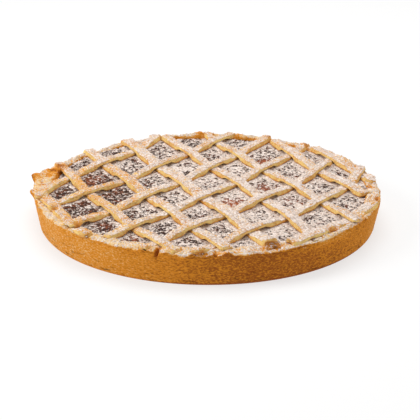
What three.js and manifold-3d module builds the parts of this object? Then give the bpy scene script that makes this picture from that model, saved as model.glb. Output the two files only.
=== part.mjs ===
// A round jam tart with a woven pastry lattice, standing on its flat base.
// Units are millimetres, +Z is up and the front of the tart faces -Y.
// The pastry case is one solid, the jam filling is one, and each lattice strip is one.

import * as THREE from 'three';
import { mergeVertices } from 'three/addons/utils/BufferGeometryUtils.js';
import Module from 'manifold-3d';

// ---------------------------------------------------------------- driving sizes
const BASE_RADIUS = 136.3;
const RIM_RADIUS = 139.8;
const RIM_INNER_RADIUS = 129;
const RIM_INNER_SHIFT = 3.4;
const WALL_HEIGHT = 24.6;
const RIM_HEIGHT = 27.0;
const BASE_THICKNESS = 10;
const BASE_BEVEL = 1.4;
const INNER_TAPER = 0.6;
const INNER_DEPTH = 2.3;

// The rim's rounded section: how far each corner lies in from the widest point or from the
// inner edge, and how far below the top.
const OUTER_CORNER = { inward: 1.2, below: 1 };
const OUTER_SHOULDER = { inward: 3.4, below: 0 };
const INNER_SHOULDER = { outward: 2.2, below: 0.2 };
const INNER_CORNER = { outward: 0.4, below: 1.6 };

// Where the wall halfway up lies between the base's radius and the rim's.
const HALFWAY_LEAN = 0.55;

// How much of a lump shows lower down the wall and at the rim's shoulder.
const LUMP_HALFWAY = 0.15;
const LUMP_WALL_TOP = 0.3;
const LUMP_SHOULDER = 0.6;

// Small unevenness round the rim: size in mm, waves round the tart and where they start.
const RIM_WAVES = [[0.3, 7, 1], [0.25, 13, 2], [0.2, 23, 0]];
const INNER_WAVES = [[0.5, 5, 0.7], [0.3, 11, 0]];
const TOP_WAVE_SHARE = 0.5;
const TOP_WAVE_TURN = 2;

// The fold of dough that stands inside the rim at the left.
const INNER_FOLD = { bearing: 168, spread: 9, inward: 3.5 };

const JAM_LEVEL = 24;

const STRIP_LOW_Z = 24.3;
const STRIP_OVER_Z = 26.9;
const STRIP_SEAT_Z = 24.6;
const STRIP_THIN = 2.3;
const STRIP_SWELL = 1.5;
const STRIP_RISE = 8;
const STRIP_CHAMFER = 0.8;
const STRIP_STEP = 8;
const PRESS_STEP = 14;
const SECTION_CORNERS = 6;
const STRIP_REACH = 138.6;
const STRIP_TRIM_RADIUS = 139.6;
const TRIM_SQUEEZE = 0.15;
const EDGE_WAVER = 0.15;
const EDGE_WAVER_RATE = 0.13;
const SEAT_START = 122;
const SEAT_END = 131;
const CROSSING_MARGIN = 2.8;
const RIM_CROSSING_BAND = 4;
const CUT_CLEARANCE = 3;
const PRESS_DEPTH = 6;

const GAP = 0.3;
const CASE_SEGMENTS = 120;
const JAM_SEGMENTS = 60;

// The two strip directions, as the angle of each family's normal from +X.
const A_ANGLE = 29.1;
const B_ANGLE = -38.3;

// Each strip: where it crosses the centre line, how far it leans and bows off straight
// over 100 mm, a slight S bend, and its width. Strips were laid by hand, so all differ.
const A_STRIPS = [
  { name: 'strip_a0', offset: -127.5, lean: -4, bow: 3, bend: 0, width: 9.5 },
  { name: 'strip_a1', offset: -89, lean: -1, bow: 5.5, bend: 1, width: 8.4 },
  { name: 'strip_a2', offset: -50.3, lean: -1.5, bow: 1, bend: 0, width: 9.4 },
  { name: 'strip_a3', offset: -12.5, lean: -3.5, bow: 0, bend: -1, width: 11.5 },
  { name: 'strip_a4', offset: 27, lean: -2, bow: -2, bend: -2, width: 9.3 },
  { name: 'strip_a5', offset: 63.5, lean: 1, bow: 1, bend: -3, width: 8.2 },
  { name: 'strip_a6', offset: 105.2, lean: -4.5, bow: 7, bend: -1, width: 10 },
  { name: 'strip_a7', offset: 128.5, lean: -3, bow: -4, bend: 0, width: 10 },
];
const B_STRIPS = [
  { name: 'strip_b1', offset: -107.5, lean: -11.7, bow: -5.8, bend: -18.3, width: 8.6 },
  { name: 'strip_b2', offset: -65.8, lean: 0.5, bow: -5, bend: 4, width: 8 },
  { name: 'strip_b3', offset: -27.8, lean: -3, bow: -3.5, bend: 0, width: 9 },
  { name: 'strip_b4', offset: 9.8, lean: -1, bow: -3.2, bend: -1, width: 8.4 },
  { name: 'strip_b5', offset: 48, lean: 2.5, bow: -6, bend: -5, width: 8.2 },
  { name: 'strip_b6', offset: 85.5, lean: 3, bow: -9, bend: -7, width: 8.6 },
  { name: 'strip_b7', offset: 122.5, lean: 3, bow: -21, bend: 0, width: 10.5 },
];

// Lumps of the hand-pinched rim: bearing in degrees from +X, half width in degrees,
// how far the edge swells outward and how far it rises.
const RIM_LUMPS = [
  { bearing: 172, spread: 7, out: 4.2, up: 0.8 },
  { bearing: 167, spread: 6, out: 0, up: 2.6 },
  { bearing: 183, spread: 5, out: 1.8, up: -0.6 },
  { bearing: 157, spread: 9, out: 0.6, up: -1.6 },
  { bearing: 136, spread: 8, out: -1.2, up: -2.4 },
  { bearing: 116, spread: 8, out: -0.8, up: -1.4 },
  { bearing: 92, spread: 6, out: 0.8, up: 1.0 },
  { bearing: 72, spread: 5, out: 0.9, up: 0.9 },
  { bearing: 46, spread: 7, out: -1.0, up: -1.0 },
  { bearing: 20, spread: 7, out: 0.5, up: 0.6 },
  { bearing: -12, spread: 6, out: 0.9, up: 0.2 },
  { bearing: -42, spread: 8, out: -0.6, up: 0.5 },
  { bearing: -66, spread: 7, out: 0.6, up: -1.5 },
  { bearing: -88, spread: 4, out: -1.1, up: -0.8 },
  { bearing: -99, spread: 5, out: 1.1, up: 0.3 },
  { bearing: -118, spread: 9, out: 0.4, up: -0.9 },
  { bearing: -148, spread: 7, out: 0.4, up: -1.2 },
];

// ---------------------------------------------------------------- materials
const PASTRY_CASE = new THREE.MeshStandardMaterial({ color: 0xc98a3c, roughness: 0.85, metalness: 0 });
const PASTRY_STRIP = new THREE.MeshStandardMaterial({ color: 0xe3c69a, roughness: 0.85, metalness: 0 });
const JAM = new THREE.MeshStandardMaterial({ color: 0x4a211b, roughness: 0.35, metalness: 0 });

// ---------------------------------------------------------------- small helpers
const radians = THREE.MathUtils.degToRad;
const smooth = THREE.MathUtils.smoothstep;
const mix = THREE.MathUtils.lerp;

function angleBetween(a, b) {
  const turn = Math.PI * 2;
  return Math.abs(THREE.MathUtils.euclideanModulo(a - b + Math.PI, turn) - Math.PI);
}

function closedMesh(points, faces, name, material) {
  const geometry = new THREE.BufferGeometry();
  geometry.setAttribute('position', new THREE.Float32BufferAttribute(points.flat(), 3));
  geometry.setIndex(faces.flat());
  geometry.computeVertexNormals();
  const mesh = new THREE.Mesh(geometry, material);
  mesh.name = name;
  return mesh;
}

// Joins two rings of the same count with a band of triangles.
function band(faces, lower, upper, count) {
  for (let i = 0; i < count; i += 1) {
    const next = (i + 1) % count;
    faces.push([lower + i, lower + next, upper + next]);
    faces.push([lower + i, upper + next, upper + i]);
  }
}

function fan(faces, centre, ring, count, facesUp) {
  for (let i = 0; i < count; i += 1) {
    const next = (i + 1) % count;
    faces.push(facesUp ? [centre, ring + i, ring + next] : [centre, ring + next, ring + i]);
  }
}

// ---------------------------------------------------------------- rim shape
function rimLump(bearing, key) {
  let sum = 0;
  for (const lump of RIM_LUMPS) {
    const away = angleBetween(bearing, radians(lump.bearing)) / radians(lump.spread);
    sum += lump[key] * Math.exp(-away * away);
  }
  return sum;
}

function waves(rows, bearing) {
  return rows.reduce((sum, [size, turns, start]) => sum + size * Math.sin(turns * bearing + start), 0);
}

// The rim is broader at the front, where more dough was folded over.
function innerRadius(bearing) {
  const away = angleBetween(bearing, radians(INNER_FOLD.bearing)) / radians(INNER_FOLD.spread);
  const fold = INNER_FOLD.inward * Math.exp(-away * away);
  return RIM_INNER_RADIUS + RIM_INNER_SHIFT * Math.sin(bearing) + waves(INNER_WAVES, bearing) - fold;
}

// The wall's profile at one bearing, from the base's edge up over the rim and down inside.
function caseProfile(bearing) {
  const out = rimLump(bearing, 'out') + waves(RIM_WAVES, bearing);
  const up = rimLump(bearing, 'up') + TOP_WAVE_SHARE * waves(RIM_WAVES, bearing + TOP_WAVE_TURN);
  const inner = innerRadius(bearing);
  const top = RIM_HEIGHT + up;
  return [
    [BASE_RADIUS - BASE_BEVEL, 0],
    [BASE_RADIUS, BASE_BEVEL],
    [mix(BASE_RADIUS, RIM_RADIUS, HALFWAY_LEAN) + LUMP_HALFWAY * out, WALL_HEIGHT / 2],
    [RIM_RADIUS + out, WALL_HEIGHT + LUMP_WALL_TOP * up],
    [RIM_RADIUS - OUTER_CORNER.inward + out, top - OUTER_CORNER.below],
    [RIM_RADIUS - OUTER_SHOULDER.inward + LUMP_SHOULDER * out, top - OUTER_SHOULDER.below],
    [inner + INNER_SHOULDER.outward, top - INNER_SHOULDER.below],
    [inner + INNER_CORNER.outward, top - INNER_CORNER.below],
    [inner, JAM_LEVEL - INNER_DEPTH],
    [inner - INNER_TAPER, BASE_THICKNESS],
  ];
}

function caseMesh() {
  const points = [];
  const rings = caseProfile(0).length;
  for (let ring = 0; ring < rings; ring += 1) {
    for (let i = 0; i < CASE_SEGMENTS; i += 1) {
      const bearing = (i / CASE_SEGMENTS) * Math.PI * 2;
      const [radius, height] = caseProfile(bearing)[ring];
      points.push([radius * Math.cos(bearing), radius * Math.sin(bearing), height]);
    }
  }
  const faces = [];
  for (let ring = 0; ring < rings - 1; ring += 1) {
    band(faces, ring * CASE_SEGMENTS, (ring + 1) * CASE_SEGMENTS, CASE_SEGMENTS);
  }
  const underside = points.push([0, 0, 0]) - 1;
  const floor = points.push([0, 0, BASE_THICKNESS]) - 1;
  fan(faces, underside, 0, CASE_SEGMENTS, false);
  fan(faces, floor, (rings - 1) * CASE_SEGMENTS, CASE_SEGMENTS, true);
  return closedMesh(points, faces, 'pastry_case', PASTRY_CASE);
}

// ---------------------------------------------------------------- jam filling
function jamMesh() {
  const points = [];
  const faces = [];
  for (const height of [BASE_THICKNESS + GAP, JAM_LEVEL]) {
    for (let i = 0; i < JAM_SEGMENTS; i += 1) {
      const bearing = (i / JAM_SEGMENTS) * Math.PI * 2;
      const radius = innerRadius(bearing) - INNER_TAPER - 2 * GAP;
      points.push([radius * Math.cos(bearing), radius * Math.sin(bearing), height]);
    }
  }
  band(faces, 0, JAM_SEGMENTS, JAM_SEGMENTS);
  const top = points.push([0, 0, JAM_LEVEL]) - 1;
  const underside = points.push([0, 0, BASE_THICKNESS + GAP]) - 1;
  fan(faces, top, JAM_SEGMENTS, JAM_SEGMENTS, true);
  fan(faces, underside, 0, JAM_SEGMENTS, false);
  return closedMesh(points, faces, 'jam_filling', JAM);
}

// ---------------------------------------------------------------- lattice paths
function family(strips, normalAngle, turn) {
  const normal = new THREE.Vector2(Math.cos(radians(normalAngle)), Math.sin(radians(normalAngle)));
  const along = new THREE.Vector2(-turn * normal.y, turn * normal.x);
  return strips.map((strip) => ({ ...strip, normal, along, crossings: [] }));
}

function sideways(strip, run) {
  const u = run / 100;
  return strip.offset + strip.lean * u + strip.bow * (u * u - 0.3) + strip.bend * (u * u * u - 0.6 * u);
}

function pathPoint(strip, run) {
  const off = sideways(strip, run);
  return strip.normal.clone().multiplyScalar(off).addScaledVector(strip.along, run);
}

// How far along each of two strips their centre lines meet.
function meeting(first, second) {
  let point = first.normal.clone().multiplyScalar(first.offset);
  const cross = first.normal.x * second.normal.y - first.normal.y * second.normal.x;
  for (let pass = 0; pass < 12; pass += 1) {
    const a = sideways(first, point.dot(first.along));
    const b = sideways(second, point.dot(second.along));
    point = new THREE.Vector2(
      (a * second.normal.y - b * first.normal.y) / cross,
      (b * first.normal.x - a * second.normal.x) / cross,
    );
  }
  return point;
}

// Where the strip's centre line leaves the tart at each end.
function reachOf(strip, way) {
  let run = 0;
  for (let step = 0; step < 320; step += 1) {
    const point = pathPoint(strip, run + way * 0.5);
    if (point.length() > STRIP_REACH) return run;
    run += way * 0.5;
  }
  return run;
}

// Half the length over which one strip lies across another.
function crossingHalf(strip, other) {
  const angle = radians(A_ANGLE - B_ANGLE);
  return other.width / 2 / Math.sin(angle) + strip.width / 2 / Math.tan(angle) + CROSSING_MARGIN;
}

// The underside's height along a strip: on the jam, up over each strip that it crosses, and on
// the rim at both ends.
function underside(strip, run) {
  let onRim = smooth(pathPoint(strip, run).length(), SEAT_START, SEAT_END);
  let lift = 0;
  for (const crossing of strip.crossings) {
    const past = smooth(Math.abs(run - crossing.run), crossing.half, crossing.half + STRIP_RISE);
    if (crossing.over) lift = Math.max(lift, 1 - past);
    else onRim = Math.min(onRim, past);
  }
  return mix(mix(STRIP_LOW_Z, STRIP_SEAT_Z, onRim), STRIP_OVER_Z, lift);
}

// Dough squeezed thin at a crossing swells between crossings.
function thickness(strip, run) {
  let clear = 1;
  for (const crossing of strip.crossings) {
    const away = Math.abs(run - crossing.run);
    clear = Math.min(clear, smooth(away, crossing.half, crossing.half + STRIP_RISE));
  }
  return STRIP_THIN + STRIP_SWELL * clear;
}

const stripsA = family(A_STRIPS, A_ANGLE, -1);
const stripsB = family(B_STRIPS, B_ANGLE, 1);
for (const strip of [...stripsA, ...stripsB]) {
  strip.start = reachOf(strip, -1);
  strip.end = reachOf(strip, 1);
}

function cutShort(strip, run, half) {
  if (run < 0) strip.start = Math.max(strip.start, run + half);
  else strip.end = Math.min(strip.end, run - half);
}

// Strips weave over and under in turn. Where two would meet on the rim itself, the lower
// one was cut short.
stripsA.forEach((a, i) => {
  stripsB.forEach((b, j) => {
    const point = meeting(a, b);
    const aOver = (i + j + 1) % 2 === 0;
    const runA = point.dot(a.along);
    const runB = point.dot(b.along);
    if (point.length() < STRIP_REACH - RIM_CROSSING_BAND) {
      a.crossings.push({ run: runA, half: crossingHalf(a, b), over: aOver });
      b.crossings.push({ run: runB, half: crossingHalf(b, a), over: !aOver });
    } else if (point.length() < STRIP_REACH + RIM_CROSSING_BAND * 4) {
      if (aOver) cutShort(b, runB, crossingHalf(b, a) + CUT_CLEARANCE);
      else cutShort(a, runA, crossingHalf(a, b) + CUT_CLEARANCE);
    }
  });
});
for (const strip of [...stripsA, ...stripsB]) {
  strip.crossings.sort((p, q) => p.run - q.run);
}

// Places along the strip where its section is drawn: every change of height and steps between.
function stationsOf(strip, start, end, crossings, longest) {
  const changes = crossings.flatMap(({ run, half }) => [
    run - half - STRIP_RISE, run - half, run + half, run + half + STRIP_RISE,
  ]);
  const inner = changes.filter((run) => run > start + 1 && run < end - 1).sort((p, q) => p - q);
  const marks = [start, ...inner, end];
  const stations = [];
  for (let i = 1; i < marks.length; i += 1) {
    const steps = Math.max(1, Math.ceil((marks[i] - marks[i - 1]) / longest));
    for (let k = 0; k < steps; k += 1) stations.push(mix(marks[i - 1], marks[i], k / steps));
  }
  stations.push(end);
  return stations;
}

// ---------------------------------------------------------------- strip solids
// Keeps a strip's edge from standing out past the rim that it was pressed on to.
function trimmed(point) {
  const past = Math.max(0, point.length() - STRIP_TRIM_RADIUS);
  return point.setLength(point.length() - past * (1 - TRIM_SQUEEZE));
}

// Sweeps the strip's section. As a press it is a gap wider all round, with its top raised,
// to dent what the strip lies on.
function stripMesh(strip, isPress = false) {
  const points = [];
  const faces = [];
  const grow = isPress ? GAP : 0;
  const lift = isPress ? PRESS_DEPTH : 0;
  const start = strip.start - grow;
  const end = strip.end + grow;
  const raised = strip.crossings.filter((crossing) => crossing.over);
  const stations = isPress
    ? stationsOf(strip, start, end, raised, PRESS_STEP)
    : stationsOf(strip, start, end, strip.crossings, STRIP_STEP);
  const steps = stations.length - 1;
  for (const run of stations) {
    const centre = pathPoint(strip, run);
    const ahead = pathPoint(strip, run + 0.5).sub(pathPoint(strip, run - 0.5)).normalize();
    const side = new THREE.Vector2(-ahead.y, ahead.x);
    const half = strip.width / 2 + grow + EDGE_WAVER * Math.sin(run * EDGE_WAVER_RATE + strip.offset);
    const low = underside(strip, run) - grow;
    const high = underside(strip, run) + thickness(strip, run) + grow + lift;
    const section = [
      [-half, low],
      [half, low],
      [half, high - STRIP_CHAMFER],
      [half - STRIP_CHAMFER, high],
      [-half + STRIP_CHAMFER, high],
      [-half, high - STRIP_CHAMFER],
    ];
    for (const [across, height] of section) {
      const at = centre.clone().addScaledVector(side, across);
      if (!isPress) trimmed(at);
      points.push([at.x, at.y, height]);
    }
  }
  for (let i = 0; i < steps; i += 1) {
    band(faces, i * SECTION_CORNERS, (i + 1) * SECTION_CORNERS, SECTION_CORNERS);
  }
  const last = steps * SECTION_CORNERS;
  for (let k = 1; k < SECTION_CORNERS - 1; k += 1) {
    faces.push([0, k + 1, k]);
    faces.push([last, last + k, last + k + 1]);
  }
  return closedMesh(points, faces, strip.name, PASTRY_STRIP);
}

// ---------------------------------------------------------------- joins and cuts
const wasm = await Module();
wasm.setup();

function toSolid(mesh) {
  const bare = new THREE.BufferGeometry();
  bare.setAttribute('position', mesh.geometry.getAttribute('position').clone());
  bare.setIndex(mesh.geometry.getIndex().clone());
  const merged = mergeVertices(bare, 1e-5);
  return new wasm.Manifold(new wasm.Mesh({
    numProp: 3,
    vertProperties: new Float32Array(merged.getAttribute('position').array),
    triVerts: new Uint32Array(merged.getIndex().array),
  }));
}

function fromSolid(solid, name, material) {
  const mesh = solid.getMesh();
  const geometry = new THREE.BufferGeometry();
  geometry.setAttribute('position', new THREE.BufferAttribute(new Float32Array(mesh.vertProperties), 3));
  geometry.setIndex(new THREE.BufferAttribute(new Uint32Array(mesh.triVerts), 1));
  geometry.computeVertexNormals();
  const result = new THREE.Mesh(geometry, material);
  result.name = name;
  return result;
}

// The rim and the jam are dented where each strip was pressed into them.
let pastryCase = toSolid(caseMesh());
let jam = toSolid(jamMesh());
for (const strip of [...stripsA, ...stripsB]) {
  const press = toSolid(stripMesh(strip, true));
  pastryCase = pastryCase.subtract(press);
  jam = jam.subtract(press);
}

// ---------------------------------------------------------------- the tart
const tart = new THREE.Group();
tart.name = 'jam_lattice_tart';
tart.add(fromSolid(pastryCase, 'pastry_case', PASTRY_CASE));
tart.add(fromSolid(jam, 'jam_filling', JAM));

const lattice = new THREE.Group();
lattice.name = 'lattice';
for (const strip of [...stripsA, ...stripsB]) lattice.add(stripMesh(strip));
tart.add(lattice);

export default tart;
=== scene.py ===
# The looks of a round jam lattice tart: baked pastry case, glossy jam, woven dough strips
# and a dusting of icing sugar. Sizes are worked out in millimetres and meshes made in metres.
import itertools
import math

import bpy
import numpy as np
from mathutils import Matrix, Vector


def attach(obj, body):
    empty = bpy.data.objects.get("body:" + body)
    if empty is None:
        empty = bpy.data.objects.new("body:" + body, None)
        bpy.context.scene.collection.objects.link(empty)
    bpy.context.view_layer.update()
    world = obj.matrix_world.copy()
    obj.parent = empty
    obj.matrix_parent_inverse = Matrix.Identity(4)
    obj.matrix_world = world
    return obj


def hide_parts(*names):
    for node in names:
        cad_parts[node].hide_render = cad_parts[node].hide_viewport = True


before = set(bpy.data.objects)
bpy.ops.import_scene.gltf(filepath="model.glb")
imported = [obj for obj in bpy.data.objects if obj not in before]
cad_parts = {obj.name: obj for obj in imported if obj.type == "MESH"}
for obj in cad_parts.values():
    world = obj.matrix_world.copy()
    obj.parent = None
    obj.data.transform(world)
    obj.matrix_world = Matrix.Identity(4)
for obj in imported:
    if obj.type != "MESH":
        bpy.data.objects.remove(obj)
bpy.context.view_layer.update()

MM = 0.001

# ---------------------------------------------------------------- driving sizes, in mm
BASE_RADIUS = 136.3
RIM_RADIUS = 139.8
RIM_INNER_RADIUS = 129
RIM_INNER_SHIFT = 3.4
WALL_HEIGHT = 24.6
RIM_HEIGHT = 27.0
BASE_THICKNESS = 10
BASE_BEVEL = 1.4

# The inside's two lower corner points: how far in the one at the floor lies, and how far below
# the jam's level the other is.
INNER_TAPER = 0.6
INNER_DEPTH = 2.3

# The rim's corner points, as how far in from its outside or out from its inside, and below the top.
OUTER_CORNER = (1.2, 1.0)
OUTER_SHOULDER = (3.4, 0.0)
INNER_SHOULDER = (2.2, 0.2)
INNER_CORNER = (0.4, 1.6)

# The wall's point halfway up: its share of the height, and of the way out to the rim.
HALFWAY_HEIGHT = 0.5
HALFWAY_LEAN = 0.55

# How much of a lump shows lower down the wall and at the rim's shoulder.
LUMP_HALFWAY = 0.15
LUMP_WALL_TOP = 0.3
LUMP_SHOULDER = 0.6

# Small unevenness round the rim: size in mm, waves round the tart and where they start.
RIM_WAVES = [(0.3, 7, 1), (0.25, 13, 2), (0.2, 23, 0)]
INNER_WAVES = [(0.5, 5, 0.7), (0.3, 11, 0)]
TOP_WAVE_SHARE = 0.5
TOP_WAVE_TURN = 2

# The fold of dough that stands inside the rim at the left: bearing, half width, reach inward.
INNER_FOLD = (168, 9, 3.5)

JAM_LEVEL = 24

# Strips: their underside between crossings, over a crossing and on the rim, and their thickness
# at a crossing with what it gains away from one. A strip rises and sinks over STRIP_RISE.
STRIP_LOW_Z = 24.3
STRIP_OVER_Z = 26.9
STRIP_SEAT_Z = 24.6
STRIP_THIN = 2.3
STRIP_SWELL = 1.5
STRIP_RISE = 8

# Where strips end, the radius that they are squeezed back towards, the slight waver of their
# edges, and the radii between which they settle on the rim.
STRIP_REACH = 138.6
STRIP_TRIM_RADIUS = 139.6
TRIM_SQUEEZE = 0.15
EDGE_WAVER = 0.15
EDGE_WAVER_RATE = 0.13
SEAT_START = 122
SEAT_END = 131

# A crossing reaches this far past the other strip. Nearer than the first band to where strips
# end there is no crossing: up to the second band beyond it, one strip stops clear of the other.
CROSSING_MARGIN = 2.8
RIM_CROSSING_BAND = 4
CUT_BAND = 16
CUT_CLEARANCE = 3

# The two strip directions, as the angle of each family's normal from +X.
A_ANGLE = 29.1
B_ANGLE = -38.3

# A strip's lean, bow and bend are given over this run, and balanced about its middle.
PATH_SPAN = 100
BOW_BALANCE = 0.3
BEND_BALANCE = 0.6

# How strips are followed and matched: step and longest run, rounds to find a crossing, and
# how far off a crossing no longer counts.
RUN_STEP = 0.5
LONGEST_RUN = 160
MEETING_ROUNDS = 12
FAR_OFF = 500

# Each strip: offset on the centre line, lean and bow over 100 mm, slight S bend, width.
A_STRIPS = {
    "strip_a0": (-127.5, -4, 3, 0, 9.5),
    "strip_a1": (-89, -1, 5.5, 1, 8.4),
    "strip_a2": (-50.3, -1.5, 1, 0, 9.4),
    "strip_a3": (-12.5, -3.5, 0, -1, 11.5),
    "strip_a4": (27, -2, -2, -2, 9.3),
    "strip_a5": (63.5, 1, 1, -3, 8.2),
    "strip_a6": (105.2, -4.5, 7, -1, 10),
    "strip_a7": (128.5, -3, -4, 0, 10),
}
B_STRIPS = {
    "strip_b1": (-107.5, -11.7, -5.8, -18.3, 8.6),
    "strip_b2": (-65.8, 0.5, -5, 4, 8),
    "strip_b3": (-27.8, -3, -3.5, 0, 9),
    "strip_b4": (9.8, -1, -3.2, -1, 8.4),
    "strip_b5": (48, 2.5, -6, -5, 8.2),
    "strip_b6": (85.5, 3, -9, -7, 8.6),
    "strip_b7": (122.5, 3, -21, 0, 10.5),
}

# Lumps of the pinched rim: bearing and half width in degrees, swell outward and upward.
RIM_LUMPS = [
    (172, 7, 4.2, 0.8),
    (167, 6, 0, 2.6),
    (183, 5, 1.8, -0.6),
    (157, 9, 0.6, -1.6),
    (136, 8, -1.2, -2.4),
    (116, 8, -0.8, -1.4),
    (92, 6, 0.8, 1.0),
    (72, 5, 0.9, 0.9),
    (46, 7, -1.0, -1.0),
    (20, 7, 0.5, 0.6),
    (-12, 6, 0.9, 0.2),
    (-42, 8, -0.6, 0.5),
    (-66, 7, 0.6, -1.5),
    (-88, 4, -1.1, -0.8),
    (-99, 5, 1.1, 0.3),
    (-118, 9, 0.4, -0.9),
    (-148, 7, 0.4, -1.2),
]

# Dents and lumps left in the rim by hand: bearing in degrees, distance out and height of the
# middle, reach along, across and upward, the push outward and upward, and how much darker
# the dough is there, or paler below 0: partly browning, partly painted shade in pushed-in dents.
RIM_DENTS = [
    (173, 142, 27, 5, 6, 5, 3.4, 3.4, 0.6),
    (178.3, 137, 27, 1.8, 5, 4, -2, -2.5, 0.35),
    (183, 141, 24, 4, 5, 3.4, 3.2, 0.8, 0.4),
    (166, 132, 28.5, 10, 7, 5, 0, 1.2, 0.8),
    (160, 132, 28.5, 3, 5, 5, 0, 1.4, 0.6),
    (-170.8, 131, 27, 2.5, 2.5, 3, 0, 1.6, 0),
    (-167.2, 134.5, 27, 2.4, 2.6, 4, 0, -4.4, 0.8),
    (-156.3, 130, 26, 2.6, 2.8, 5, 0, -5, 0.7),
    (-148, 137, 26, 3, 3, 3, 0.6, 1.3, 0),
    (-139.4, 130, 27, 2.4, 3, 5, 0, -4, 0.5),
    (-134, 137, 26, 4, 3, 3, 0.8, 1.2, 0),
    (-120, 139, 23.6, 18, 3, 0.8, -0.9, 0, 0.1),
    (-109, 138, 26, 4.5, 3.5, 3, 1.2, 1.6, 0.05),
    (-105.3, 138, 27.5, 1.3, 6, 5, -3, -5, 0.9),
    (-102.5, 138, 26, 2.5, 3.5, 3, 0.8, 1.6, 0),
    (-97.5, 140, 25.5, 3.6, 3, 2.6, 1.8, -2.2, 0),
    (-92, 135.5, 28, 4.2, 3, 3, 0, 2.2, 0.05),
    (-92, 139.5, 26.4, 4, 3.4, 1.7, -3.6, 0, 0.5),
    (-87.5, 139, 28, 1.5, 4.5, 4.5, -2.6, -4.4, 0.9),
    (-84.5, 138.5, 26, 2.4, 2.4, 2.4, 0.8, 1.4, 0.3),
    (-79, 140, 26, 7, 2.6, 2, 1.2, -1.2, 0),
    (-69, 130, 29, 12, 4, 4, 0, 3.2, 0),
    (-69, 139, 28.4, 11, 5.5, 3, -9, 0, 0.3),
    (-69, 134, 27, 10, 3, 2, 0, 0, 0.3),
    (-51, 140, 24.5, 28, 6, 4, 1.2, 0, -0.32),
    (-58, 139.5, 24.2, 12, 3, 0.8, -1.0, 0, 0.1),
    (-44.7, 133, 28, 3.8, 1.8, 4.5, 0, -5.5, 0.8),
    (-29.5, 139, 26, 2, 3, 2.5, 0.8, 1.2, 0.4),
    (-12, 138, 27, 4.4, 1.8, 4.4, 0, -4, 0.9),
    (2.3, 131.5, 28, 4, 2.6, 5, 0, -5.5, 0.7),
    (12, 138, 27, 5, 3, 3, 0.4, 1.0, 0.1),
    (30, 137, 27, 7, 3, 3, 0.5, 1.2, 0.05),
    (50, 133, 28, 4, 3, 3, 0.4, 1.8, 0.4),
    (66, 135, 28, 3.5, 3, 3, 0.6, 1.5, 0.3),
    (78, 135, 28, 4, 3, 3, 0.4, 1.0, 0.35),
    (93, 135, 28, 3, 3, 3, 0.5, 1.8, 0.45),
    (112, 135, 27, 6, 3, 3, 0.5, 1.2, 0.1),
]


# ---------------------------------------------------------------- small helpers
def smooth(value, low, high):
    """0 at low and beyond, 1 at high and beyond, eased between them."""
    share = np.clip((value - low) / (high - low), 0, 1)
    return share * share * (3 - 2 * share)


def mix(a, b, share):
    """a where share is 0, b where it is 1."""
    return a + (b - a) * share


FLATTEN = np.array((1, 1, 0))
NEARLY_ZERO = 1e-9

NOISE_RANDOM_SEED = 11
NOISE_SLOTS = 65536
NOISE_HASH = np.array((73856093, 19349663, 83492791))
NOISE_SEED_STEP = 17.31
NOISE_GAIN = 1.7
NOISE_AXES = np.random.default_rng(NOISE_RANDOM_SEED).normal(size=(NOISE_SLOTS, 3))
NOISE_AXES /= np.linalg.norm(NOISE_AXES, axis=1)[:, None]


def noise(points, size, seed=0):
    """Smooth random values, about -1 to 1, with lumps about `size` mm across."""
    places = points / size + seed * NOISE_SEED_STEP
    cell = np.floor(places).astype(np.int64)
    within = places - cell
    ease = within**3 * (within * (within * 6 - 15) + 10)
    total = np.zeros(len(points))
    for corner in itertools.product((0, 1), repeat=3):
        key = np.bitwise_xor.reduce((cell + corner) * NOISE_HASH, axis=1)
        axis = NOISE_AXES[key & (NOISE_SLOTS - 1)]
        reach = (axis * (within - corner)).sum(1)
        weight = np.where(corner, ease, 1 - ease).prod(axis=1)
        total += weight * reach
    return total * NOISE_GAIN


def noises(points, rows, seed=0):
    """The sum of several noises, each a row of strength, size in mm and seed."""
    return sum(strength * noise(points, size, seed + own) for strength, size, own in rows)


def vertex_normals(points, quads):
    """Unit normals at the points of a mesh of quads."""
    a, b, c, d = (points[quads[:, k]] for k in range(4))
    face = np.cross(c - a, d - b)
    normals = np.zeros_like(points)
    for k in range(4):
        np.add.at(normals, quads[:, k], face)
    length = np.linalg.norm(normals, axis=1)
    return normals / np.maximum(length, NEARLY_ZERO)[:, None]


def grid_quads(rows, columns, wrap):
    """Quads between successive rows of a grid, closed round the columns where wrap is true."""
    row = np.arange(rows - 1)[:, None] * columns
    column = np.arange(columns if wrap else columns - 1)[None, :]
    after = (column + 1) % columns
    corners = (row + column, row + after, row + columns + after, row + columns + column)
    return np.stack([corner.ravel() for corner in corners], axis=1)


def make_piece(name, points, quads, caps, marks, material, node):
    """A smooth shaded mesh that may stand in for a solid. marks are values kept at each vertex."""
    mesh = bpy.data.meshes.new(name)
    mesh.from_pydata((points * MM).tolist(), [], quads.tolist() + caps)
    for key, values in marks.items():
        layer = mesh.attributes.new(key, "FLOAT", "POINT")
        layer.data.foreach_set("value", np.clip(values, 0, 1).astype(np.float32))
    mesh.polygons.foreach_set("use_smooth", np.ones(len(mesh.polygons), bool))
    mesh.materials.append(material)
    mesh.update()
    piece = bpy.data.objects.new(name, mesh)
    bpy.context.scene.collection.objects.link(piece)
    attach(piece, "root")
    if node:
        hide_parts(node)


# ---------------------------------------------------------------- where the sugar fell
SUGAR_AVERAGE = 0.5

# Patches of the dusting: centre x and y, radius, and how much more or less sugar lies there.
SUGAR_PATCHES = [
    (20, 10, 75, 0.12),
    (60, -75, 45, 0.14),
    (-95, 0, 45, -0.2),
    (-85, -70, 40, -0.12),
    (40, 95, 50, -0.02),
    (120, 30, 40, 0.06),
]
SUGAR_DRIFTS = [(0.16, 14, 3), (0.1, 5, 4)]

# How fast dough darkened by browning and painted shade loses its sugar.
BARE_WHEN_BROWN = 1.5


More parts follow.
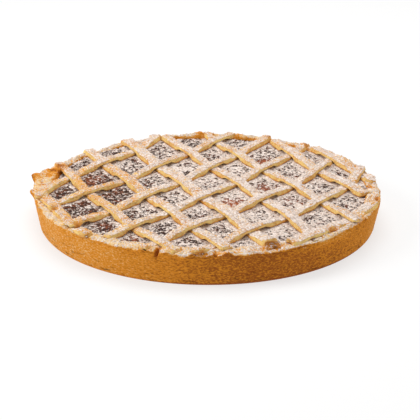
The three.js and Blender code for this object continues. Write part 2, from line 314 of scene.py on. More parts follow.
def patch(points, x, y, radius):
    """1 at a place on the tart, falling away smoothly round it, seen from above."""
    return np.exp(-((points[:, 0] - x) ** 2 + (points[:, 1] - y) ** 2) / radius**2)


def sugar_fall(points):
    """How thickly the sugar lies, from 0 to 1, seen from above."""
    amount = np.full(len(points), SUGAR_AVERAGE)
    for x, y, radius, more in SUGAR_PATCHES:
        amount += more * patch(points, x, y, radius)
    amount += noises(points * FLATTEN, SUGAR_DRIFTS)
    return np.clip(amount, 0, 1)


def dough_sugar(points, facing_up, browner_and_shade):
    """Sugar left on dough: what fell there, where it faces up and isn't darkened by browning and
    painted shade.
    """
    return sugar_fall(points) * facing_up * (1 - np.clip(BARE_WHEN_BROWN * browner_and_shade, 0, 1))


# ---------------------------------------------------------------- materials
def hex_colour(code):
    """A colour code such as #FFFFFF as the linear values that a shader takes."""
    parts = [int(code[k : k + 2], 16) / 255 for k in (1, 3, 5)]
    linear = [p / 12.92 if p <= 0.04045 else ((p + 0.055) / 1.055) ** 2.4 for p in parts]
    return (*linear, 1)


SUGAR_WHITE = hex_colour("#F4E9E2")
SUGAR_SHADE = hex_colour("#DCC9BC")
# Pits and cracks in the dough take this brown as painted shade.
PIT_SHADE_BROWN = hex_colour("#6B3C16")
JAM_DARK = hex_colour("#341A10")
JAM_RED = hex_colour("#A85526")

# Shader noises: size of the lumps in mm, detail, roughness, and stretch along each axis.
SUGAR_CAST_NOISE = (1.7, 1, 0.5)
MOTTLE_NOISE = (5, 3, 0.6)
CRUMB_NOISE = (1.4, 3, 0.7, (1.5, 1.5, 0.7))
CRACK_NOISE = (5, 4, 0.65, (2.2, 2.2, 0.4))
FRUIT_NOISE = (4, 3, 0.6)
JAM_RIPPLE_NOISE = (1.8, 2, 0.5)

# Ranges of those noises, or of the marks, over which a feature comes in.
SUGAR_CAST_RANGE = (0.3, 0.7)
MOTTLE_RANGE = (0.25, 0.75)
CRUMB_RANGE = (0.3, 0.7)
PIT_RANGE = (0.1, 0.26)
PIT_PATCH_RANGE = (0.52, 0.6)
CRACK_RANGE = (0.6, 0.68)
FRUIT_RANGE = (0.35, 0.7)
FIRST_SUGAR_RANGE = (0.02, 0.14)

# The noise value above which sugar lies: where there is least, and how far it falls where
# there is most. Then the specks' detail and roughness, and their softness and size in mm.
SUGAR_EDGE_NONE = 0.74
SUGAR_EDGE_FALL = 0.48
SUGAR_SPECK_DETAIL = (2, 0.6)
DOUGH_SUGAR_SOFTNESS = 0.07
DOUGH_SUGAR_GRAIN = 1.3
JAM_SUGAR_SOFTNESS = 0.03
JAM_SUGAR_GRAIN = 2.3

# Dough: the level of browning at which it is golden, how pits are spread and how strongly they take
# their painted shade, and its surface.
GOLDEN_BAKE = 0.5
PIT_PATCH_SIZE = 2.5
PIT_SHADE = 0.75
PIT_DEPTH = 0.5
DOUGH_SUGAR_DEPTH = 0.25
DOUGH_ROUGHNESS = 0.85
DOUGH_GLOSS = 0.06
CRUMB_STRENGTH = 0.9
RELIEF_STRENGTH = 0.8

# Jam: how much the fruit lowers and raises its redness, and its surface.
FRUIT_RED = (-0.25, 0.3)
JAM_RIPPLE_DEPTH = 0.6
JAM_RIPPLE_STRENGTH = 0.6
JAM_SUGAR_DEPTH = 0.4
JAM_ROUGHNESS = 0.4
JAM_GLOSS = 0.15

SUGAR_ROUGHNESS = 0.9
SUGAR_GLOSS = 0.2


class Recipe:
    """A material's node tree, with short names for the nodes that the recipes share."""

    def __init__(self, name):
        self.material = bpy.data.materials.new(name)
        self.material.use_nodes = True
        self.nodes = self.material.node_tree.nodes
        self.links = self.material.node_tree.links
        self.shader = self.nodes["Principled BSDF"]
        self.place = self.nodes.new("ShaderNodeTexCoord").outputs["Object"]

    def put(self, source, socket):
        """Links another node's output to a socket, or sets a plain value on it."""
        if hasattr(source, "links"):
            self.links.new(source, socket)
        else:
            socket.default_value = source

    def texture(self, kind, size, stretch=(1, 1, 1)):
        """A texture node whose features are about `size` mm across, times the stretch."""
        mapping = self.nodes.new("ShaderNodeMapping")
        mapping.inputs["Scale"].default_value = [1 / (size * MM * s) for s in stretch]
        self.links.new(self.place, mapping.inputs["Vector"])
        node = self.nodes.new(kind)
        node.inputs["Scale"].default_value = 1
        self.links.new(mapping.outputs["Vector"], node.inputs["Vector"])
        return node

    def noise(self, size, detail=2, rough=0.5, stretch=(1, 1, 1)):
        """Noise from 0 to 1 with lumps about `size` mm across."""
        node = self.texture("ShaderNodeTexNoise", size, stretch)
        node.inputs["Detail"].default_value = detail
        node.inputs["Roughness"].default_value = rough
        return node.outputs["Fac"]

    def cells(self, size):
        """Distance to the nearest of scattered points about `size` mm apart, in that size."""
        return self.texture("ShaderNodeTexVoronoi", size).outputs["Distance"]

    def mark(self, key):
        """A value kept at each vertex of the mesh."""
        node = self.nodes.new("ShaderNodeAttribute")
        node.attribute_name = key
        return node.outputs["Fac"]

    def maths(self, kind, a, b):
        """The result of one sum on two values."""
        node = self.nodes.new("ShaderNodeMath")
        node.operation = kind
        self.put(a, node.inputs[0])
        self.put(b, node.inputs[1])
        return node.outputs[0]

    def ramp(self, value, low, high, to_low=0, to_high=1):
        """value eased from to_low at low to to_high at high."""
        node = self.nodes.new("ShaderNodeMapRange")
        node.interpolation_type = "SMOOTHSTEP"
        self.put(value, node.inputs["Value"])
        self.put(low, node.inputs["From Min"])
        self.put(high, node.inputs["From Max"])
        self.put(to_low, node.inputs["To Min"])
        self.put(to_high, node.inputs["To Max"])
        return node.outputs["Result"]

    def blend(self, share, a, b):
        """Colour a where share is 0, b where it is 1."""
        node = self.nodes.new("ShaderNodeMix")
        node.data_type = "RGBA"
        self.put(share, node.inputs["Factor"])
        self.put(a, node.inputs["A"])
        self.put(b, node.inputs["B"])
        return node.outputs["Result"]

    def bump(self, height, depth, strength, normal=None):
        """Relief whose height from 0 to 1 stands `depth` mm, on top of another if given."""
        node = self.nodes.new("ShaderNodeBump")
        node.inputs["Strength"].default_value = strength
        node.inputs["Distance"].default_value = depth * MM
        self.links.new(height, node.inputs["Height"])
        if normal is not None:
            self.links.new(normal, node.inputs["Normal"])
        return node.outputs["Normal"]

    def sugar_mask(self, grain, softness):
        """1 where sugar lies: specks of `grain` mm that close up as the sugar mark rises."""
        fine = self.noise(grain, *SUGAR_SPECK_DETAIL)
        amount = self.mark("sugar")
        edge = self.maths("SUBTRACT", SUGAR_EDGE_NONE, self.maths("MULTIPLY", amount, SUGAR_EDGE_FALL))
        low = self.maths("SUBTRACT", edge, softness)
        high = self.maths("ADD", edge, softness)
        present = self.ramp(amount, *FIRST_SUGAR_RANGE)
        return self.maths("MULTIPLY", self.ramp(fine, low, high), present)

    def sugar_colour(self):
        """White sugar with a faint warm or cool cast from speck to speck."""
        cast = self.ramp(self.noise(*SUGAR_CAST_NOISE), *SUGAR_CAST_RANGE)
        return self.blend(cast, SUGAR_SHADE, SUGAR_WHITE)

    def surface(self, colour, roughness, gloss, relief=None):
        """Gives the shader its colour, roughness, gloss and relief, and hands over the material."""
        self.put(colour, self.shader.inputs["Base Color"])
        self.put(roughness, self.shader.inputs["Roughness"])
        self.put(gloss, self.shader.inputs["Specular IOR Level"])
        if relief is not None:
            self.put(relief, self.shader.inputs["Normal"])
        return self.material


def dough_pits(recipe, pit_size):
    """1 in the small pits and cracks of baked dough, as far as its rough mark allows."""
    pits = recipe.ramp(recipe.cells(pit_size), *PIT_RANGE, 1, 0)
    patches = recipe.ramp(recipe.noise(pit_size * PIT_PATCH_SIZE), *PIT_PATCH_RANGE)
    pits = recipe.maths("MULTIPLY", pits, patches)
    cracks = recipe.ramp(recipe.noise(*CRACK_NOISE), *CRACK_RANGE)
    pits = recipe.maths("MAXIMUM", pits, cracks)
    return recipe.maths("MULTIPLY", pits, recipe.mark("rough"))


def dough_material(name, colours, mottling, crumb_shade_contrast, crumb_depth, pit_size):
    """Baked pastry that goes from pale to golden to brown by its mark of browning and painted shade,
    under sugar.
    """
    recipe = Recipe(name)
    pale, golden, brown = (hex_colour(code) for code in colours)
    mottle = recipe.ramp(recipe.noise(*MOTTLE_NOISE), *MOTTLE_RANGE, -mottling, mottling)
    crumb = recipe.noise(*CRUMB_NOISE)
    # Lower crumbs of the relief are darker and higher ones paler: partly the dough's own grain, partly
    # painted shade.
    grain = recipe.ramp(crumb, *CRUMB_RANGE, crumb_shade_contrast, -crumb_shade_contrast)
    # This mark holds real browning together with painted shade at the case's front, foot, hollows and
    # dents.
    doneness_and_shade = recipe.maths("ADD", recipe.mark("bake"), mottle)
    doneness_and_shade = recipe.maths("ADD", doneness_and_shade, grain)
    colour = recipe.blend(recipe.ramp(doneness_and_shade, 0, GOLDEN_BAKE), pale, golden)
    colour = recipe.blend(recipe.ramp(doneness_and_shade, GOLDEN_BAKE, 1), colour, brown)
    pits = dough_pits(recipe, pit_size)
    # Painted shade: the pits and cracks are darkened towards a deep brown.
    colour = recipe.blend(recipe.maths("MULTIPLY", pits, PIT_SHADE), colour, PIT_SHADE_BROWN)
    mask = recipe.sugar_mask(DOUGH_SUGAR_GRAIN, DOUGH_SUGAR_SOFTNESS)
    colour = recipe.blend(mask, colour, recipe.sugar_colour())
    relief = recipe.bump(crumb, crumb_depth, CRUMB_STRENGTH)
    relief = recipe.bump(recipe.maths("SUBTRACT", 1, pits), PIT_DEPTH, RELIEF_STRENGTH, relief)
    relief = recipe.bump(mask, DOUGH_SUGAR_DEPTH, RELIEF_STRENGTH, relief)
    return recipe.surface(colour, DOUGH_ROUGHNESS, DOUGH_GLOSS, relief)


def jam_material():
    """Dark red jam with a wet gloss between clumps of sugar."""
    recipe = Recipe("jam")
    fruit = recipe.ramp(recipe.noise(*FRUIT_NOISE), *FRUIT_RANGE, *FRUIT_RED)
    red = recipe.maths("ADD", recipe.mark("red"), fruit)
    colour = recipe.blend(recipe.ramp(red, 0, 1), JAM_DARK, JAM_RED)
    mask = recipe.sugar_mask(JAM_SUGAR_GRAIN, JAM_SUGAR_SOFTNESS)
    colour = recipe.blend(mask, colour, recipe.sugar_colour())
    roughness = recipe.ramp(mask, 0, 1, JAM_ROUGHNESS, SUGAR_ROUGHNESS)
    relief = recipe.bump(recipe.noise(*JAM_RIPPLE_NOISE), JAM_RIPPLE_DEPTH, JAM_RIPPLE_STRENGTH)
    relief = recipe.bump(mask, JAM_SUGAR_DEPTH, RELIEF_STRENGTH, relief)
    return recipe.surface(colour, roughness, JAM_GLOSS, relief)


def sugar_material():
    """Dry white sugar."""
    recipe = Recipe("sugar_clumps")
    return recipe.surface(recipe.sugar_colour(), SUGAR_ROUGHNESS, SUGAR_GLOSS)


CASE_DOUGH = dough_material(
    "case_pastry",
    colours=("#EDCB92", "#DB8C2A", "#9A541F"),
    mottling=0.04,
    crumb_shade_contrast=0.26,
    crumb_depth=0.9,
    pit_size=1.9,
)
STRIP_DOUGH = dough_material(
    "strip_pastry",
    colours=("#F2D288", "#D8954A", "#A4622A"),
    mottling=0.08,
    crumb_shade_contrast=0.16,
    crumb_depth=0.35,
    pit_size=4,
)
JAM = jam_material()
SUGAR = sugar_material()


# ---------------------------------------------------------------- lattice paths
class Strip:
    """One lattice strip: its path on the tart, its crossings and its height along the way."""

    def __init__(self, name, numbers, normal_angle, turn):
        self.name = name
        self.offset, self.lean, self.bow, self.bend, self.width = numbers
        angle = math.radians(normal_angle)
        self.normal = np.array((math.cos(angle), math.sin(angle)))
        self.along = turn * np.array((-self.normal[1], self.normal[0]))
        self.crossings = []
        self.start = self.reach(-1)
        self.end = self.reach(1)

    def sideways(self, run):
        """How far the centre line lies along the normal, at that run along the strip."""
        u = run / PATH_SPAN
        bow, bend = u * u - BOW_BALANCE, u**3 - BEND_BALANCE * u
        return self.offset + self.lean * u + self.bow * bow + self.bend * bend

    def point(self, run):
        """The centre line's place on the tart at each run."""
        run = np.atleast_1d(run)
        return self.sideways(run)[:, None] * self.normal + run[:, None] * self.along

    def reach(self, way):
        """How far along the centre line stays on the tart."""
        runs = way * np.arange(RUN_STEP, LONGEST_RUN, RUN_STEP)
        outside = np.linalg.norm(self.point(runs), axis=1) > STRIP_REACH
        return runs[np.argmax(outside)] - way * RUN_STEP

    def crossing_half(self, other):
        """Half the length of this strip that lies over or under the other."""
        angle = math.radians(A_ANGLE - B_ANGLE)
        return other.width / 2 / math.sin(angle) + self.width / 2 / math.tan(angle) + CROSSING_MARGIN

    def past_crossings(self, run, over):
        """0 at each crossing of that kind, easing to 1 away from all of them."""
        clear = np.ones(len(run))
        for centre, half, is_over in self.crossings:
            if is_over == over:
                clear = np.minimum(clear, smooth(np.abs(run - centre), half, half + STRIP_RISE))
        return clear

    def underside(self, run):
        """Height of the strip's underside at each run."""
        on_rim = smooth(np.linalg.norm(self.point(run), axis=1), SEAT_START, SEAT_END)
        on_rim = np.minimum(on_rim, self.past_crossings(run, False))
        low = mix(STRIP_LOW_Z, STRIP_SEAT_Z, on_rim)
        return mix(STRIP_OVER_Z, low, self.past_crossings(run, True))

    def thickness(self, run):
        """Thickness at each run, less where strips are pressed together."""
        clear = np.minimum(self.past_crossings(run, False), self.past_crossings(run, True))
        return STRIP_THIN + STRIP_SWELL * clear

    def half_width(self, run):
        """Half the width at each run, with its slight waver."""
        return self.width / 2 + EDGE_WAVER * np.sin(run * EDGE_WAVER_RATE + self.offset)


def meeting(first, second):
    """Where two strips' centre lines cross, or any far off point where they don't on the tart."""
    point = first.normal * first.offset
    cross = first.normal[0] * second.normal[1] - first.normal[1] * second.normal[0]
    for _ in range(MEETING_ROUNDS):
        if np.abs(point).max() > FAR_OFF:
            break
        a = first.sideways(point @ first.along)
        b = second.sideways(point @ second.along)
        x = (a * second.normal[1] - b * first.normal[1]) / cross
        y = (b * first.normal[0] - a * second.normal[0]) / cross
        point = np.array((x, y))
    return point


def cut_short(strip, run, clearance):
    """Ends a strip that far before the place at that run where it meets another."""
    if run < 0:
        strip.start = max(strip.start, run + clearance)
    else:
        strip.end = min(strip.end, run - clearance)


def lay_lattice():
    """Weaves the strips over and under in turn, and shortens those that end under another."""
    first = [Strip(name, row, A_ANGLE, -1) for name, row in A_STRIPS.items()]
    second = [Strip(name, row, B_ANGLE, 1) for name, row in B_STRIPS.items()]
    for i, a in enumerate(first):
        for j, b in enumerate(second):
            point = meeting(a, b)
            away = np.linalg.norm(point)
            a_over = (i + j + 1) % 2 == 0
            run_a, run_b = point @ a.along, point @ b.along
            half_a, half_b = a.crossing_half(b), b.crossing_half(a)
            if away < STRIP_REACH - RIM_CROSSING_BAND:
                a.crossings.append((run_a, half_a, a_over))
                b.crossings.append((run_b, half_b, not a_over))
            elif away < STRIP_REACH + CUT_BAND:
                if a_over:
                    cut_short(b, run_b, half_b + CUT_CLEARANCE)
                else:
                    cut_short(a, run_a, half_a + CUT_CLEARANCE)
    return first + second


STRIPS = lay_lattice()


# ---------------------------------------------------------------- sugar clumps
# Clumps: how many, their radius with its spread, how far from where they settled they lie, and
# their lift in their own radius.
CLUMP_RANDOM_SEED = 7
CLUMP_COUNT = 24000
CLUMP_RADIUS = 0.62
CLUMP_SIZES = (0.55, 1.25)
CLUMP_SCATTER = 0.4
CLUMP_LIFT = 0.15

# A clump's corners, in its own radius: four round it, one above and one below, all jittered.
CLUMP_SIDES = 4
CLUMP_SIDE_HEIGHT = (-0.1, 0.25)
CLUMP_TOP = (0.6, 0.95)
CLUMP_BELOW = -0.6
CLUMP_JITTER = (0.8, 1.2)

# Where clumps settle: how many on the jam against the pastry, the slope that holds them, and
# the least likely places, which are left out.
JAM_CLUMP_SHARE = 1.5
PASTRY_CLUMP_SHARE = 1.0
CLUMP_SLOPE = (0.4, 0.8)
LEAST_LIKELY = 0.02
LANDINGS = []


def land_sugar(points, normals, sugar, share):
    """Keeps the places of a surface where clumps may settle, and how likely each one is."""
    likely = share * sugar**2 * smooth(normals[:, 2], *CLUMP_SLOPE)
    keep = likely > LEAST_LIKELY
    LANDINGS.append((points[keep], likely[keep]))


def clump_sides():
    """The triangles of one clump: a ring of sides up to its top, and another down below it."""
    top, below = CLUMP_SIDES, CLUMP_SIDES + 1
    after = [(side + 1) % CLUMP_SIDES for side in range(CLUMP_SIDES)]
    upper = [(side, after[side], top) for side in range(CLUMP_SIDES)]
    lower = [(after[side], side, below) for side in range(CLUMP_SIDES)]
    return np.array(upper + lower)


def sugar_piece():
    """Small uneven lumps of sugar on everything that faces up."""
    rng = np.random.default_rng(CLUMP_RANDOM_SEED)
    places, likely = (np.concatenate(part) for part in zip(*LANDINGS))
    picked = rng.choice(len(places), CLUMP_COUNT, p=likely / likely.sum())
    scatter = rng.uniform(-CLUMP_SCATTER, CLUMP_SCATTER, (CLUMP_COUNT, 3))
    heart = places[picked] + scatter * FLATTEN
    size = CLUMP_RADIUS * rng.uniform(*CLUMP_SIZES, CLUMP_COUNT)
    turn = rng.uniform(0, 2 * np.pi, CLUMP_COUNT)
    corners = []
    for side in range(CLUMP_SIDES):
        angle = turn + side * np.pi / 2
        height = rng.uniform(*CLUMP_SIDE_HEIGHT, CLUMP_COUNT)
        corners.append(np.stack((np.cos(angle), np.sin(angle), height), axis=1))
    above = np.zeros((CLUMP_COUNT, 3))
    above[:, 2] = rng.uniform(*CLUMP_TOP, CLUMP_COUNT)
    corners += [above, CLUMP_BELOW * above]
    jitter = rng.uniform(*CLUMP_JITTER, (CLUMP_COUNT, len(corners), 1))
    shapes = np.stack(corners, axis=1) * jitter
    points = heart[:, None, :] + (shapes + (0, 0, CLUMP_LIFT)) * size[:, None, None]
    faces = (np.arange(CLUMP_COUNT) * len(corners))[:, None, None] + clump_sides()
    points, faces = points.reshape(-1, 3), faces.reshape(-1, 3)
    make_piece("sugar_clumps", points, faces, [], {}, SUGAR, None)


# ---------------------------------------------------------------- strips
# A strip's section: points round it and the angle of the first, corner radius, how far its sides
# lean in, least half sizes, the spacing of sections, and the step that shows the way ahead.
SECTION_POINTS = 40
SECTION_START = -0.75 * np.pi
SECTION_CORNER = 0.75
SIDE_LEAN = 0.7
LEAST_HALF_WIDTH = 0.4
LEAST_HALF_HEIGHT = 0.3
STRIP_SPACING = 0.8
AHEAD_STEP = 0.5

# A strip's end: how far back it rounds, how far in at the most, and the rings that close it.
END_ROUNDING = 1.6
END_INSET = 1.2
CAP_RINGS = 4
CAP_MIDDLE = 0.6

# Unevenness of a strip: strength, size in mm and seed, after the strip's own first seed.
STRIP_LUMPS = [(0.22, 9, 0), (0.1, 3.2, 1), (0.07, 1.5, 2)]
STRIP_FIRST_SEED = 30
STRIP_SEEDS = 3
STRIP_RIM_RANGE = (127, 133)

# A strip's sugar and browning: the slope that counts as its top, its browning in all, more on the top
# and darker towards its foot, uneven patches, and how far its pits show.
STRIP_SUGAR = 1.14
STRIP_TOP_RANGE = (0.5, 0.85)
STRIP_BAKE = 0.16
STRIP_TOP_BAKE = 0.2
STRIP_FOOT_DARKENING = 0.5
STRIP_FOOT_RANGE = (26, 24.2)
STRIP_BAKE_PATCHES = [(0.14, 18, 5), (0.1, 6, 8)]
STRIP_ROUGH = 0.4


def section(half, thick, inset):
    """A rounded rectangle round the strip: how far across and up, for each place along it."""
    half = np.maximum(half - inset, LEAST_HALF_WIDTH)[:, None]
    tall = np.maximum(thick / 2 - inset, LEAST_HALF_HEIGHT)[:, None]
    angle = np.linspace(0, 2 * np.pi, SECTION_POINTS, endpoint=False)[None, :] + SECTION_START
    corner = np.minimum(SECTION_CORNER, np.minimum(half, tall))
    # Unit directions stretched on to the rectangle, then rounded at its corners.
    cos, sin = np.cos(angle), np.sin(angle)
    scale = 1 / np.maximum(np.abs(cos), np.abs(sin))
    across, up = cos * scale * half, sin * scale * tall
    over_x = np.maximum(np.abs(across) - (half - corner), 0)
    over_y = np.maximum(np.abs(up) - (tall - corner), 0)
    length = np.maximum(np.hypot(over_x, over_y), NEARLY_ZERO)
    pull = np.where((over_x > 0) & (over_y > 0), np.minimum(corner / length, 1), 1)
    across = np.sign(across) * (np.abs(across) - over_x * (1 - pull))
    up = np.sign(up) * (np.abs(up) - over_y * (1 - pull))
    across *= 1 - SIDE_LEAN / half * (up / tall)
    return across, up


def strip_rings(strip):
    """The strip's section at each place along it, held inside the tart's edge."""
    count = int((strip.end - strip.start) / STRIP_SPACING)
    runs = np.linspace(strip.start, strip.end, count)
    near_end = np.minimum(runs - strip.start, strip.end - runs)
    depth = np.clip(END_ROUNDING - near_end, 0, END_ROUNDING)
    inset = END_ROUNDING - np.sqrt(np.maximum(END_ROUNDING**2 - depth**2, 0))
    thick = strip.thickness(runs)
    across, up = section(strip.half_width(runs), thick, np.minimum(inset, END_INSET))
    ahead = strip.point(runs + AHEAD_STEP) - strip.point(runs - AHEAD_STEP)
    ahead /= np.linalg.norm(ahead, axis=1)[:, None]
    side = np.stack((-ahead[:, 1], ahead[:, 0]), axis=1)
    flat = strip.point(runs)[:, None, :] + across[:, :, None] * side[:, None, :]
    away = np.linalg.norm(flat, axis=2, keepdims=True)
    held = np.minimum(away, STRIP_TRIM_RADIUS + TRIM_SQUEEZE * (away - STRIP_TRIM_RADIUS))
    flat *= held / away
    height = (strip.underside(runs) + thick / 2)[:, None] + up
    return np.concatenate((flat, height[:, :, None]), axis=2)


def closing_rings(ring):
    """Rings that shrink from a strip's end section towards its middle."""
    shares = np.arange(1, CAP_RINGS + 1) / (CAP_RINGS + CAP_MIDDLE)
    return [mix(ring, ring.mean(axis=0), share) for share in shares]


def strip_marks(points, normals, browner_and_shade):
    """Sugar, browning with some painted shade, and roughness at each point of a strip."""
    facing_up = smooth(normals[:, 2], *STRIP_TOP_RANGE)
    bake = STRIP_BAKE + STRIP_TOP_BAKE * facing_up + noises(points, STRIP_BAKE_PATCHES)
    # Darker towards the strip's foot, where it meets the jam.
    bake += STRIP_FOOT_DARKENING * smooth(points[:, 2], *STRIP_FOOT_RANGE) + browner_and_shade
    sugar = STRIP_SUGAR * dough_sugar(points, facing_up, browner_and_shade)
    return {"sugar": sugar, "bake": bake, "rough": np.full(len(points), STRIP_ROUGH)}


def strip_piece(strip, seed):
    """One strip of dough: rounded, uneven, and dented with the rim where it lies on it."""
    rings = strip_rings(strip)
    rings = np.concatenate((closing_rings(rings[0])[::-1], rings, closing_rings(rings[-1])))
    points = rings.reshape(-1, 3)
    quads = grid_quads(len(rings), SECTION_POINTS, True)
    last = len(points) - SECTION_POINTS
    caps = [list(range(SECTION_POINTS))[::-1], list(range(last, last + SECTION_POINTS))]
    on_rim = smooth(np.hypot(points[:, 0], points[:, 1]), *STRIP_RIM_RANGE)
    swell = noises(points, STRIP_LUMPS, seed) + on_rim * rim_lumps(points)
    points = points + vertex_normals(points, quads) * swell[:, None]
    points, browner_and_shade = dent_rim(points)
    normals = vertex_normals(points, quads)
    marks = strip_marks(points, normals, browner_and_shade)
    land_sugar(points, normals, marks["sugar"], PASTRY_CLUMP_SHARE)
    name = strip.name.replace("strip", "dough_strip")
    make_piece(name, points, quads, caps, marks, STRIP_DOUGH, strip.name)


# ---------------------------------------------------------------- pastry case
CASE_COLUMNS = 1180
CASE_STEP = 0.62
PROFILE_ROUNDINGS = 2

# Unevenness of the case and of its rim's folds: strength, size in mm and seed.
CASE_LUMPS = [(0.35, 16, 1), (0.22, 5, 2), (0.12, 2.2, 3)]
RIM_FOLDS = [(0.9, 7, 4), (0.5, 2.8, 5)]

# Heights over which the wall's unevenness comes in, and over which the rim begins.
WALL_RANGE = (0.5, 3)
RIM_RANGE = (21, 25)

# Level seams in the wall: how deep, their size and stretch, seed, and how sharply they cut in.
LAYER_DEPTH = 0.35
LAYER_SIZE = 3.4
LAYER_STRETCH = np.array((0.3, 0.3, 1.5))
LAYER_SEED = 12
LAYER_RANGE = (0.1, 0.7)

# How strips sink into the rim: over their edges, past their ends, and how close they lie.
PRESS_EDGE = (-0.7, 0.5)
PRESS_END = (-0.2, 1.4)
PRESS_LIFT = 0.1

# The case's browning: the wall's, more at its brownest bearing in degrees, partly as painted shade of
# the wall turned from the key light, less on top, uneven patches, painted shade in the rim's hollows,
# and a painted contact shadow at the foot, most at the front.
WALL_BAKE = 0.43
FRONT_BAKE_AND_SHADE = 0.42
BROWNEST_BEARING = -68
BROWN_SPREAD = 38
TOP_PALER = 0.8
BAKE_PATCHES = [(0.05, 20, 6)]
HOLLOW_RANGE = (0.2, 0.9)
HOLLOW_PAINTED_SHADE = 0.3
FOOT_SHADE_RANGE = (2.6, 0.3)
FOOT_PAINTED_SHADE = 0.1
FOOT_FRONT_PAINTED_SHADE = 0.5

# The rim's sugar and the slope that counts as its top, and how far the wall's pits show.
RIM_SUGAR = 0.98
RIM_TOP_RANGE = (0.4, 0.85)
LEAST_ROUGH = 0.35
ROUGH_GAIN = 0.65
ROUGH_RANGE = (15, 4)


def hump(bearing, centre, spread):
    """1 at the centre bearing, falling away smoothly over the spread, both in degrees."""
    away = (bearing - math.radians(centre) + math.pi) % (2 * math.pi) - math.pi
    return np.exp(-((away / math.radians(spread)) ** 2))


def rim_lump(bearing, column):
    """The rim's swell at each bearing, outward or upward by the column of RIM_LUMPS."""
    return sum(row[column] * hump(bearing, row[0], row[1]) for row in RIM_LUMPS)


def waves(rows, bearing):
    """Small even waves round the tart."""
    return sum(size * np.sin(turns * bearing + start) for size, turns, start in rows)


def inner_radius(bearing):
    """The rim's inside edge at each bearing."""
    centre, spread, inward = INNER_FOLD
    fold = inward * hump(bearing, centre, spread)
    return RIM_INNER_RADIUS + RIM_INNER_SHIFT * np.sin(bearing) + waves(INNER_WAVES, bearing) - fold


def case_profile(bearing):
    """Radius and height of the case's corner points at each bearing, from base to rim to inside."""
    out = rim_lump(bearing, 2) + waves(RIM_WAVES, bearing)
    up = rim_lump(bearing, 3) + TOP_WAVE_SHARE * waves(RIM_WAVES, bearing + TOP_WAVE_TURN)
    inner = inner_radius(bearing)
    flat = np.zeros_like(bearing)
    halfway = mix(BASE_RADIUS, RIM_RADIUS, HALFWAY_LEAN)
    corners = [
        (BASE_RADIUS - BASE_BEVEL + flat, flat),
        (BASE_RADIUS + flat, BASE_BEVEL + flat),
        (halfway + LUMP_HALFWAY * out, WALL_HEIGHT * HALFWAY_HEIGHT + flat),
        (RIM_RADIUS + out, WALL_HEIGHT + LUMP_WALL_TOP * up),
        (RIM_RADIUS - OUTER_CORNER[0] + out, RIM_HEIGHT - OUTER_CORNER[1] + up),
        (RIM_RADIUS - OUTER_SHOULDER[0] + LUMP_SHOULDER * out, RIM_HEIGHT - OUTER_SHOULDER[1] + up),
        (inner + INNER_SHOULDER[0], RIM_HEIGHT - INNER_SHOULDER[1] + up),
        (inner + INNER_CORNER[0], RIM_HEIGHT - INNER_CORNER[1] + up),
        (inner, JAM_LEVEL - INNER_DEPTH + flat),
        (inner - INNER_TAPER, BASE_THICKNESS + flat),
    ]
    return np.array(corners)


def finer_profile(corners):
    """Rounds the profile's corners and divides it into even steps."""
    for _ in range(PROFILE_ROUNDINGS):
        before, after = corners[:-1], corners[1:]
        quarter, three = mix(before, after, 0.25), mix(before, after, 0.75)
        inner = np.stack((quarter, three), axis=1).reshape(-1, *corners.shape[1:])
        corners = np.concatenate((corners[:1], inner[1:-1], corners[-1:]))
    mean = corners.mean(axis=2)
    length = np.concatenate(([0], np.cumsum(np.hypot(*np.diff(mean, axis=0).T))))
    wanted = np.arange(0, length[-1], CASE_STEP)
    place = np.interp(wanted, length, np.arange(len(length)))
    low = np.clip(np.floor(place).astype(int), 0, len(corners) - 2)
    share = (place - low)[:, None, None]
    return corners[low] * (1 - share) + corners[low + 1] * share


def rim_lumps(points):
    """The small folds and lumps of the pinched rim, in mm."""
    return noises(points, RIM_FOLDS)


def dent_rim(points):
    """Moves the points near each dent or lump of the rim. Also gives how much darker they are, partly
    browning and partly painted shade in the pushed-in dents.
    """
    browner_and_shade = np.zeros(len(points))
    for bearing, out, up, along, across, tall, push_out, push_up, more in RIM_DENTS:
        angle = math.radians(bearing)
        ahead = np.array((math.cos(angle), math.sin(angle)))
        radial = points[:, :2] @ ahead - out
        beside = points[:, :2] @ np.array((-ahead[1], ahead[0]))
        away = (beside / along) ** 2 + (radial / across) ** 2 + ((points[:, 2] - up) / tall) ** 2
        share = np.exp(-away)
        points[:, :2] += share[:, None] * push_out * ahead
        points[:, 2] += share * push_up
        browner_and_shade += share * more
    return points, browner_and_shade


def press_strips(points):
    """Lowers the rim under each strip that was pressed on to it."""
    height = points[:, 2].copy()
    for strip in STRIPS:
        run = points[:, :2] @ strip.along
        across = np.abs(points[:, :2] @ strip.normal - strip.sideways(run))
        half = strip.half_width(run)
        near_end = np.maximum(strip.start - run, run - strip.end)
        beside = smooth(across, half + PRESS_EDGE[0], half + PRESS_EDGE[1])
        cover = (1 - beside) * (1 - smooth(near_end, *PRESS_END))
        bed = strip.underside(np.clip(run, strip.start, strip.end)) + PRESS_LIFT
        pressed = np.minimum(height, bed)
        height = np.where(cover > 0, mix(height, pressed, cover), height)
    points[:, 2] = height
    return points


def case_mesh():
    """The case's even surface, from the base round the rim to the floor inside."""
    bearing = np.linspace(0, 2 * np.pi, CASE_COLUMNS, endpoint=False)
    profile = finer_profile(case_profile(bearing))
    radius, height = profile[:, 0, :], profile[:, 1, :]
    points = np.stack((radius * np.cos(bearing), radius * np.sin(bearing), height), axis=2)
    return points.reshape(-1, 3), grid_quads(len(profile), CASE_COLUMNS, True)


